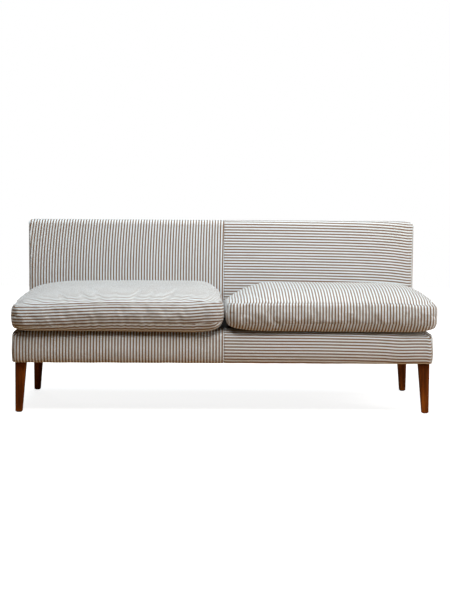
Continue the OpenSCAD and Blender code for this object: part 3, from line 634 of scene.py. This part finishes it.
# how the stripes stray on four covers, as a length of cloth at each place
def leftBackLean(p):
    # the left half's stripes lean right as they rise, most near the left end
    x, z = p[..., 0] / mm, p[..., 2] / mm
    h = np.clip((z - 540) / 232, 0, 1.1)
    amount = 0.3 + 1.2 * np.clip(-x / 850, 0, 1)
    return period * amount * (0.25 * h + 0.75 * h ** 2.2)


def rightBackSag(p):
    # the right half's stripes sag towards the right end, sharply at the edge
    q = np.clip(p[..., 0] / (847 * mm), 0, 1)
    return period * (0.85 * q ** 1.7 + 0.93 * q ** 9)


def leftBaseLean(p):
    # small hooks at the lower edge and at the top, near the left end
    x, z = p[..., 0] / mm, p[..., 2] / mm
    end = np.exp((-x - 875) / 150)
    return period * end * (0.22 * np.exp(-(z - 210) / 9) + 0.25 * ramp(290, 345, z))


def rightBaseWave(p):
    # a bump a little before the right end, a lift at it, and a slow wave
    x = p[..., 0] / mm
    return period * (0.22 * np.exp(-((x - 735) / 55) ** 2) + 0.35 * ramp(845, 872, x) + 0.05 * np.sin(x / 95))


# part, surface, whether its normals turn, and for left and right: the stripes' direction and how they stray
coverTable = (
    ("base_{}_cover", baseFront, 1, ("up", "level"), (leftBaseLean, rightBaseWave)),
    ("base_{}_side_cover", baseSide, 1, ("upFromEnd",) * 2, (None, None)),
    ("back_{}_cover", backFront, 1, ("up", "level"), (leftBackLean, rightBackSag)),
    ("back_{}_side_panel", backSide, 1, ("up", "up"), (None, None)),
    ("outside_back_{}", backRear, -1, ("up", "up"), (None, None)),
)
seed = 11
for part, surface, turn, stripes, shifts in coverTable:
    for (side, label), way, shift in zip(sides, stripes, shifts):
        makeCover(part.format(label), surface(side), turn * side, way, seed, shift)
        seed += 1

deckX = spaced(-base["cornerSeam"][2], base["cornerSeam"][2], 9 * mm)[:, None]
deckY = spaced(base["front"] + base["lip"], base["rear"], 9 * mm)
# the deck cloth takes the platform cloth, whose dark tones are painted shade
makeCover("deck_cloth", boxGrid(deckX, deckY, base["top"] - 0.4 * mm), 1, "up", seed,
          seams=("u0", "u1", "v0"), finish="platformPaintedShade")

dustCloth = inMetres({"halfWidth": 848.7, "front": -311.7, "rear": 325.7, "z": 211.2, "relief": 0.25, "step": 12,
                      "thickness": 0.6})
dustX = spaced(-dustCloth["halfWidth"], dustCloth["halfWidth"], dustCloth["step"])[:, None]
dustY = spaced(dustCloth["front"], dustCloth["rear"], dustCloth["step"])
dustZ = dustCloth["z"] + dustCloth["relief"] * waves(dustX, dustY, 120 * mm, 31)
dust = makePiece("dust_cloth", boxGrid(dustX, dustY, dustZ).reshape(-1, 3),
                 [gridFaces(np.arange(dustZ.size).reshape(dustZ.shape), -1)], finishes["dust"])
thicken(dust, dustCloth["thickness"])
print("covers made")


cushion = inMetres({
    "rear": 222.1, "cornerR": 36, "drawIn": 6, "step": 11, "lowerSeam": 377.6, "upperSeam": 461.6,
    "crownReach": (300, 200), "bellyReach": (18, 18),  # depth of the curves from the front and from the rear
    "deckGap": 0.9, "landing": (1.5, 3),  # space over the deck, and how softly it is met
    "tuckUnder": 7, "tuckRows": (-286, -312),  # how far the underside lifts off the deck's rounded edge, and where
    "lowOutReach": 60, "skewReach": 45, "sunkReach": 110, "sunkRows": (-120, 200),
    "seamDepth": 2.4, "seamWidth": 3.2, "seamRoll": 1.0, "rollPlace": 10, "rollWidth": 6,
    "pucker": 1.3, "puckerPitch": 26, "puckerStart": 6, "puckerReach": 17, "strayLength": 120,
    "relief": 1.2, "reliefFade": 40, "thickness": 1.3, "padGap": 2.6,
    "zipX": 446.25, "zipZ": 419.6, "zipHalf": 341, "zipSlot": 4.1, "slotDepth": 5,
    "levelRows": (40, 5),  # how far ahead of the rear the rings turn level
    "middle": 5, "middleGap": 0.8,  # where the two cushions meet
    "cap": 24,  # the furthest that a point may move in the simulation
}) | {
    "crownPower": (1.5, 2.0), "stray": 2.6,
    "crownKeeps": 0.6,  # share of the seams' droop that the crown doesn't follow
    "belowZip": 0.445,  # share of the border's height that is below the zip
    "clothDetail": 0.8, "clothBulge": 0.25,  # shares of the simulated folds and swelling that are kept
}
# reach and power: depth and fullness of the crown's curves at the left and right ends; bellyReach: the underside's
# swell: how far the border stands out in front, at the outer end and at the inner end
# droop and droops: how far the seams hang, and the smooth steps along X that add to it
# lowGroove: the lower seam's share of the groove; lowOut: how far that seam stands out in front
# sunkCorner: how far the rear corner beside the other cushion sinks
# lowSkew: how far the bottom panel's stripes are pulled sideways as they turn under
cushions = {
    "left": inMetres({
        "centreX": -438, "halfWidth": 436.5, "front": -357, "swell": (7, 2.5, 6), "crown": 61.5, "reach": (240, 92),
        "droop": -4, "droops": ((-430, -830, -13), (-170, -10, 8)), "bellyZ": (343.5, 338.5),
        "bellyReach": (85, 120), "lowOut": 8, "sunkCorner": 4,
    }) | {"side": -1, "power": (2.3, 1.6), "lowGroove": 0.3, "lowSkew": 0, "seed": 41},
    "right": inMetres({
        "centreX": 452, "halfWidth": 438.5, "front": -350, "swell": (7, 0.5, 4), "crown": 55, "reach": (163, 250),
        "droop": 0, "droops": ((690, 885, -8),), "bellyZ": (345, 342), "bellyReach": (165, 120), "lowOut": 5,
        "sunkCorner": 26,
    }) | {"side": 1, "power": (1.05, 2.8), "lowGroove": 0.15, "lowSkew": 0.2, "seed": 42},
}
# the border's rings, as shares of its height
ringShares = np.array([3, 7, 13, 21, 31, 39, 44.5, 46, 50, 54, 55.5, 61, 69, 79, 87, 93, 97])[:, None] / 100


def fromEdge(total, step):
    # distances along a side, close at both ends and about step apart between
    near = np.array([0, 2.5, 5.5, 9.5, 15, 22, 31]) * mm
    return join([near, spaced(near[-1] + step, total - near[-1] - step, step), total - near[::-1]])


def cushionPlan(a, b, halfWidth, front):
    # a square from -1 to 1 onto the outline: corners onto quarter circles, and the front and sides drawn in by a
    # half sine
    c = cushion
    size = np.array([halfWidth, (c["rear"] - front) / 2])
    p = np.stack(np.broadcast_arrays(a, b), -1) * size
    q = np.clip((np.abs(p) - (size - c["cornerR"])) / c["cornerR"], 0, 1)
    bent = np.stack([q[..., 0] * np.sqrt(1 - q[..., 1] ** 2 / 2), q[..., 1] * np.sqrt(1 - q[..., 0] ** 2 / 2)], -1)
    plan = np.sign(p) * (np.minimum(np.abs(p), size - c["cornerR"]) + bent * c["cornerR"])
    plan[..., 0] -= c["drawIn"] * np.sin(math.pi * (b + 1) / 2) * np.sign(a) * np.abs(a) ** 4
    plan[..., 1] += c["drawIn"] * np.sin(math.pi * (a + 1) / 2) * np.where(b < 0, b ** 4, 0)
    plan[..., 1] += (c["rear"] + front) / 2
    return plan


def aroundGrid(numbers):
    # a grid's outline, once round, from its first corner
    return join([numbers[:-1, 0], numbers[-1, :-1], numbers[:0:-1, -1], numbers[0, :0:-1]])


def pillow(edges, reaches, powers=(2, 2, 2, 2)):
    # the product of a superellipse's rise from each edge
    return math.prod(rise(gap / reach, power) for gap, reach, power in zip(edges, reaches, powers))


def deckHeight(y):
    # the deck and its rounded front edge under a cushion
    r = base["frontEdge"]
    over = np.clip(base["front"] + r - y, 0, r - 2 * mm)
    return base["top"] - r + np.sqrt(r ** 2 - over ** 2)


def vertexNormals(points, faces):
    # the sum of the crossed diagonals of the faces round each point, brought to length one
    n = np.cross(points[faces[:, 2]] - points[faces[:, 0]], points[faces[:, 3]] - points[faces[:, 1]])
    total = np.stack([np.bincount(faces.ravel(), np.repeat(n[:, k], 4), len(points)) for k in range(3)], 1)
    return total / np.linalg.norm(total, axis=1, keepdims=True)


def blurred(values, faces, rounds):
    # each point's value averaged with its neighbours', again and again
    a, b = join([faces[:, :2], faces[:, 1:3], faces[:, 2:], faces[:, [3, 0]]]).T
    count = np.bincount(a, minlength=len(values)) + np.bincount(b, minlength=len(values))
    for _ in range(rounds):
        near = np.stack([np.bincount(a, v[b], len(v)) + np.bincount(b, v[a], len(v)) for v in values.T], 1)
        values = 0.4 * values + 0.6 * near / count[:, None]
    return values


class CushionForm:
    # one closed mesh: a top and a bottom panel over the same grid, and a border of rings between them

    def __init__(self, own):
        self.own = own
        top, low, edges = self.panels()
        size = top[..., 0].size
        self.topNumbers = np.arange(size).reshape(top.shape[:2])
        self.lowNumbers = self.topNumbers + size
        ring = aroundGrid(self.topNumbers)
        inner = np.arange(ringShares.size * len(ring)).reshape(-1, len(ring)) + 2 * size
        rings = join([ring[None] + size, inner, ring[None]])
        self.rings = join([rings, rings[:, :1]], 1)
        top, low = top.reshape(-1, 3), low.reshape(-1, 3)
        self.line = top[ring, :2]
        self.points = join([top, low, self.border(top[ring], low[ring]).reshape(-1, 3)])
        self.faces = join([gridFaces(self.topNumbers), gridFaces(self.lowNumbers, -1), gridFaces(self.rings.T)])
        self.markSeams(edges)

    def panels(self):
        # both panels' points, and their distances from the left, right, front and rear edges
        c, own = cushion, self.own
        wide, depth = own["halfWidth"], c["rear"] - own["front"]
        a = fromEdge(2 * wide, c["step"])[:, None] / wide - 1
        b = fromEdge(depth, c["step"])[None, :] * 2 / depth - 1
        plan = cushionPlan(a, b, wide, own["front"])
        x, y = plan[..., 0] + own["centreX"], plan[..., 1]
        toLeft, toRight = (a + 1) * wide + 0 * b, (1 - a) * wide + 0 * b
        toFront, toRear = [(1 + s * b) * depth / 2 + 0 * a for s in (1, -1)]
        edges = toLeft, toRight, toFront, toRear
        toMiddle = toRight if own["side"] < 0 else toLeft
        sunk = own["sunkCorner"] * ramp(c["sunkReach"], 0, toMiddle) * ramp(*c["sunkRows"], y)
        shift = own["droop"] + sum(height * ramp(start, end, x) for start, end, height in own["droops"]) - sunk
        crown = pillow(edges, own["reach"] + c["crownReach"], own["power"] + c["crownPower"])
        top = c["upperSeam"] + shift + (own["crown"] - c["crownKeeps"] * shift) * crown
        bellyZ = np.interp(x, (own["centreX"] - wide, own["centreX"] + wide), own["bellyZ"])
        belly = pillow(edges, own["bellyReach"] + c["bellyReach"])
        low = c["lowerSeam"] + shift - (c["lowerSeam"] + shift - bellyZ) * belly
        floor = deckHeight(y) + c["deckGap"] + c["tuckUnder"] * ramp(*c["tuckRows"], y)
        lift, reach = c["landing"]
        low = np.maximum(low, floor) + lift * np.exp(-np.abs(low - floor) / reach) * (low > floor)
        lowY = y - own["lowOut"] * (1 - rise(toFront / c["lowOutReach"], 1.3)) * \
            ramp(0, c["lowOutReach"], np.minimum(toLeft, toRight))
        return boxGrid(x, y, top), boxGrid(x, lowY, low), edges

    def border(self, top, low):
        # rings that stand out as a half sine of their height, most where they face the front; their heights run
        # evenly between the seams, but behind they keep level beside the zip
        c, own, s, zone = cushion, self.own, ringShares, cushion["belowZip"]
        run = np.roll(self.line, -1, 0) - np.roll(self.line, 1, 0)
        face = np.stack([run[:, 1], -run[:, 0]], -1)
        face /= np.linalg.norm(face, axis=1, keepdims=True)
        front, outer, inner = own["swell"]
        ahead, toOuter = np.clip(-face[:, 1], 0, 1), ramp(-0.5, 0.5, own["side"] * face[:, 0])
        swell = front * ahead + (1 - ahead) * (inner + (outer - inner) * toOuter)
        out = swell * ramp(0.8, 0.1, face[:, 1]) * np.sin(math.pi * s)
        level = c["zipZ"] + np.clip(s - 0.5, zone - 0.5, 0.5 - zone) * (c["upperSeam"] - c["lowerSeam"])
        level = level + np.clip(s / zone - 1, -1, 0) * (level.min() - low[:, 2]) + \
            np.clip((s - 1 + zone) / zone, 0, 1) * (top[:, 2] - level.max())
        even = low[:, 2] + (top[:, 2] - low[:, 2]) * s
        start, end = [c["rear"] - row for row in c["levelRows"]]
        height = even + (level - even) * ramp(start, end, self.line[:, 1])
        points = join([self.line + face * out[..., None], height[..., None]], -1)
        points[..., 1] -= (top[:, 1] - low[:, 1]) * (1 - s)
        return points

    def markSeams(self, edges):
        # each point's distance from the nearest seam, its place along it, offset so that no two seams pucker alike,
        # and its share of the groove
        toLeft, toRight, toFront, toRear = edges
        near = np.min(edges, axis=0).ravel()
        along = np.where(np.minimum(toFront, toRear) < np.minimum(toLeft, toRight), toLeft, toFront + 1.3).ravel()
        self.lengths = lengthAlong(join([self.line, self.line[:1]])[:, None], 0)[:, 0]
        gap = np.minimum(ringShares, 1 - ringShares) * (cushion["upperSeam"] - cushion["lowerSeam"]) + \
            0 * self.line[:, 0]
        self.gap = join([near, near, gap.ravel()])
        self.along = join([along, along + 0.31, (self.lengths[:-1] + 0 * gap + 0.17).ravel()])
        lowShare = self.own["lowGroove"]
        self.groove = join([1 + 0 * near, lowShare + 0 * near,
                            np.where(ringShares + 0 * gap > 0.5, 1, lowShare).ravel()])

    def simulate(self):
        # pressure cloth over the closed form, held at the seams, below and behind; most of its folds are kept, and
        # a part of its slow swelling, so that the outline stays
        c = cushion
        body = inScene("clothStart", newMesh("clothStart", self.points.tolist(), self.faces.tolist()))
        y, z = self.points[:, 1:].T
        held = self.groove * np.exp(-(self.gap / (4 * mm)) ** 2)
        held = held + ramp(c["lowerSeam"] - 8 * mm, c["lowerSeam"] - 24 * mm, z)
        held = np.round(np.clip(held + ramp(c["rear"] - 14 * mm, c["rear"] - 3 * mm, y), 0, 1), 1)
        pins = body.vertex_groups.new(name="held")
        for weight in np.unique(held):
            pins.add(np.flatnonzero(held == weight).tolist(), float(weight), "REPLACE")
        cloth = body.modifiers.new("cloth", "CLOTH")
        s = cloth.settings
        s.quality, s.mass, s.air_damping = 5, 0.3, 3
        s.tension_stiffness = s.compression_stiffness = 22
        s.shear_stiffness, s.bending_stiffness = 6, 0.6
        s.use_pressure, s.uniform_pressure_force = True, 4
        s.shrink_min = -0.028
        s.vertex_group_mass, s.effector_weights.gravity = "held", 0
        cloth.collision_settings.use_collision = cloth.collision_settings.use_self_collision = False
        scene = bpy.context.scene
        for number in range(1, 21):
            scene.frame_set(number)
        result = np.zeros(len(self.points) * 3)
        posed = body.evaluated_get(bpy.context.evaluated_depsgraph_get())
        posed.data.vertices.foreach_get("co", result)
        moved = result.reshape(-1, 3) - self.points
        scene.frame_set(1)
        bpy.data.objects.remove(body)
        size = np.linalg.norm(moved, axis=1, keepdims=True)
        moved = moved * np.minimum(1, c["cap"] / np.maximum(size, 1e-9))
        slow = blurred(moved, self.faces, 60)
        self.points = self.points + c["clothDetail"] * (moved - slow) + c["clothBulge"] * slow
        size, folds = [round(float(np.abs(v).max()) * 1000, 1) for v in (size, moved - slow)]
        print("cloth moved at most", size, "mm, folds", folds)

    def sew(self):
        # seams, puckers and a slow relief, along the normals; then it is kept off its neighbours
        c, own, seed = cushion, self.own, self.own["seed"]
        normal = vertexNormals(self.points, self.faces)
        gap, along = self.gap, self.along
        x, y, z = self.points.T
        strength = np.clip(0.45 + 1.3 * waves(along, 0, 160 * mm, seed + 1), 0, 1)
        lift = self.groove * seamLift(gap, c) + puckers(gap, along, c, seed) * strength + \
            c["relief"] * waves(x + z, y + z, 150 * mm, seed + 2) * ramp(0, c["reliefFade"], gap)
        x, y, z = (self.points + normal * lift[:, None]).T.copy()
        besideZip = (y > c["rear"] - 6 * mm) & (np.abs(x - own["side"] * c["zipX"]) < c["zipHalf"]) & \
            (np.abs(z - c["zipZ"]) < c["zipSlot"])
        y = np.where(besideZip, c["rear"] - c["slotDepth"], np.minimum(y, c["rear"]))
        z = np.maximum(z, deckHeight(y) + 0.6 * mm)
        middle = c["middle"] + own["side"] * c["middleGap"]
        x = np.maximum(x, middle) if own["side"] > 0 else np.minimum(x, middle)
        self.points = np.stack([x, y, z], 1)

    def cloth(self, numbers):
        # a panel's cloth coordinates: lengths over the crown from its middle, without each grid line's sideways
        # part, so that the stripes run straight
        p = self.points[numbers]
        x, y = [lengthAlong(p * (np.arange(3) != skip), axis) for axis, skip in ((0, 1), (1, 0))]
        middle = p.shape[0] // 2
        return x - x[middle] + p[middle, :, 0], y + p[:, :1, 1] - p[middle, 0, 1]


def makePanel(node, form, numbers, turn, uv, body):
    # one sewn panel of the form
    used = np.arange(numbers.size).reshape(numbers.shape)
    piece = makePiece(node, form.points[numbers.ravel()], [gridFaces(used, turn)], finishes["ticking"],
                      body, uv.reshape(-1, 2), name=camel(node).removesuffix("Panel"))
    finer = piece.modifiers.new("finer", "SUBSURF")
    finer.levels = finer.render_levels = 1
    thicken(piece, cushion["thickness"])
    piece.modifiers.new("evenShading", "WEIGHTED_NORMAL").weight = 100


def makeCushion(label):
    # three panels and a pad; the left cushion's stripes run along X, the right one's along Y
    own = cushions[label]
    form = CushionForm(own)
    form.simulate()
    form.sew()
    body, side = label + "_cushion", own["side"]
    for panel, numbers, turn in (("top", form.topNumbers, 1), ("bottom", form.lowNumbers, -1)):
        x, y = form.cloth(numbers)
        if turn < 0:
            x = x + own["lowSkew"] * np.minimum(y - y.min(), cushion["skewReach"])
        uv = np.stack([y, x] if side < 0 else [x, y], -1)
        makePanel(f"{body}_{panel}_panel", form, numbers, turn, uv, body)
    rings = form.rings.T
    height = lengthAlong(form.points[rings], 1)
    middle = len(form.topNumbers) // 2
    run = form.lengths[:, None] + 0 * height + form.points[form.topNumbers[middle, 0], 0] - form.lengths[middle]
    uv = np.stack([height, run] if side < 0 else [run, height], -1)
    makePanel(body + "_border", form, rings, 1, uv, body)
    inner = form.points - vertexNormals(form.points, form.faces) * cushion["padGap"]
    pad = makePiece(body + "_pad", inner, [form.faces], finishes["wadding"], body)
    print(label, "cushion made")


for side, label in sides:
    makeCushion(label)


stage = {
    "size": 14.0, "glow": 0.82,
    "fade": (1.5, 3.2),  # distances over which the floor turns white
    # what the floor's light brings back under the object, and further in front of it
    "bounce": (0.56, 0.32, 0.15, 1), "bounceAhead": (0.1, 0.065, 0.035, 1), "ahead": (-0.65, -1.0),
}


def seenRays(n):
    # 1 for rays from the camera and through glass
    rays = n.add("ShaderNodeLightPath").outputs
    return n.math("MAXIMUM", rays["Is Camera Ray"], rays["Is Transmission Ray"])


def floorMaterial():
    # pale for the camera, with the object's shadow, and white far away; other rays meet a warm board colour
    n = Nodes("paleFloor")
    seen, place = seenRays(n), n.place()
    far = n.add("ShaderNodeVectorMath", {0: place}, operation="LENGTH").outputs["Value"]
    ahead = n.spread(n.add("ShaderNodeSeparateXYZ", {0: place}).outputs[1], *stage["ahead"])
    mottle = n.ramp(n.noise(place, 3.0), (0.3, 0.97), (0.7, 1))
    warm = n.mix(1.0, n.mix(ahead, stage["bounce"], stage["bounceAhead"]), mottle, "MULTIPLY")
    shown = n.mix(1.0, (0.5, 0.5, 0.5, 1), mottle, "MULTIPLY")
    glow = n.times(seen, n.plus(stage["glow"], n.times(n.spread(far, *stage["fade"]), 0.4)))
    return n.finish(Base_Color=n.mix(seen, warm, shown), Roughness=0.9, Specular_IOR_Level=0.0,
                    Emission_Color=(1, 1, 1, 1), Emission_Strength=glow)


def makeFloor():
    h = stage["size"] / 2
    mesh = newMesh("floor", [(-h, -h, 0), (h, -h, 0), (h, h, 0), (-h, h, 0)], [(0, 1, 2, 3)])
    mesh.materials.append(floorMaterial())
    inScene("floor", mesh)


lighting = {
    "world": 0.006,
    # place, aim, width and height of the panel, watts, colour
    "key": ((0.2, -1.1, 2.3), (0.1, 0.1, 0.5), (2.6, 1), 69, (1, 0.96, 0.91)),
    "top": ((-0.6, 0.1, 2.6), (-0.4, 0, 0.4), (2.6, 1.2), 37, (0.7, 0.88, 1)),
    "side": ((2.5, -1.0, 1.2), (0.4, 0, 0.42), (1.3, 1.2), 33, (1, 1, 0.98)),
    "behind": ((-0.4, 3.2, 1.15), (0, 0.35, 0.42), (3.2, 1), 60, (1, 0.99, 0.97)),
    "left": ((-3.4, 0.5, 0.95), (-0.9, 0.1, 0.42), (1.2, 1), 4, (1, 0.99, 0.97)),
}


def makeWorld():
    # white where it is seen, and a faint blue light for the rest
    n = Nodes("studio", bpy.data.worlds.new("studio"))
    faint = n.tree.nodes["Background"]
    n.put(faint.inputs["Color"], (0.86, 0.92, 1.0, 1))
    n.put(faint.inputs["Strength"], lighting["world"])
    white = n.add("ShaderNodeBackground", {"Color": (1, 1, 1, 1)})
    both = n.add("ShaderNodeMixShader", {0: seenRays(n), 1: faint.outputs[0], 2: white.outputs[0]})
    bpy.context.scene.world = n.finish(Surface=both.outputs[0])


def stand(thing, right, up, place):
    # an object's place, with its X and Y axes along right and up
    axes = np.eye(4)
    axes[:3] = np.stack([right, up, np.cross(right, up), place], 1)
    thing.matrix_world = Matrix(axes.tolist())


def makeLight(name, place, aim, size, watts, colour):
    # a rectangular panel that faces its aim
    data = bpy.data.lights.new(name, "AREA")
    data.shape, data.size, data.size_y, data.energy, data.color = "RECTANGLE", *size, watts, colour
    ahead = np.array(aim, float) - np.array(place, float)
    ahead /= np.linalg.norm(ahead)
    right = np.cross(ahead, (0, 0, 1))
    right /= np.linalg.norm(right)
    stand(inScene(name, data), right, np.cross(right, ahead), place)


camera = {"place": (-0.0939, -5.8724, 0.9216), "yaw": 0.0182, "pitch": 0.0807, "roll": 0.0067, "lens": 80.53,
          "sensor": 36.0}


def makeCamera():
    # looks along +Y, turned by yaw, tipped down by pitch and rolled about its line of sight
    cy, cp, cr = [math.cos(camera[key]) for key in ("yaw", "pitch", "roll")]
    sy, sp, sr = [math.sin(camera[key]) for key in ("yaw", "pitch", "roll")]
    right, up = np.array([cy, -sy, 0]), np.array([sy * sp, cy * sp, cp])
    data = bpy.data.cameras.new("camera")
    data.lens, data.sensor_width, data.sensor_fit = camera["lens"], camera["sensor"], "AUTO"
    bpy.context.scene.camera = inScene("camera", data)
    stand(bpy.context.scene.camera, cr * right + sr * up, cr * up - sr * right, camera["place"])


makeFloor()
makeWorld()
for name in ("key", "top", "side", "behind", "left"):
    makeLight(name, *lighting[name])
makeCamera()
bpy.context.scene.view_settings.view_transform = "Standard"
print("stage, lights and camera ready")
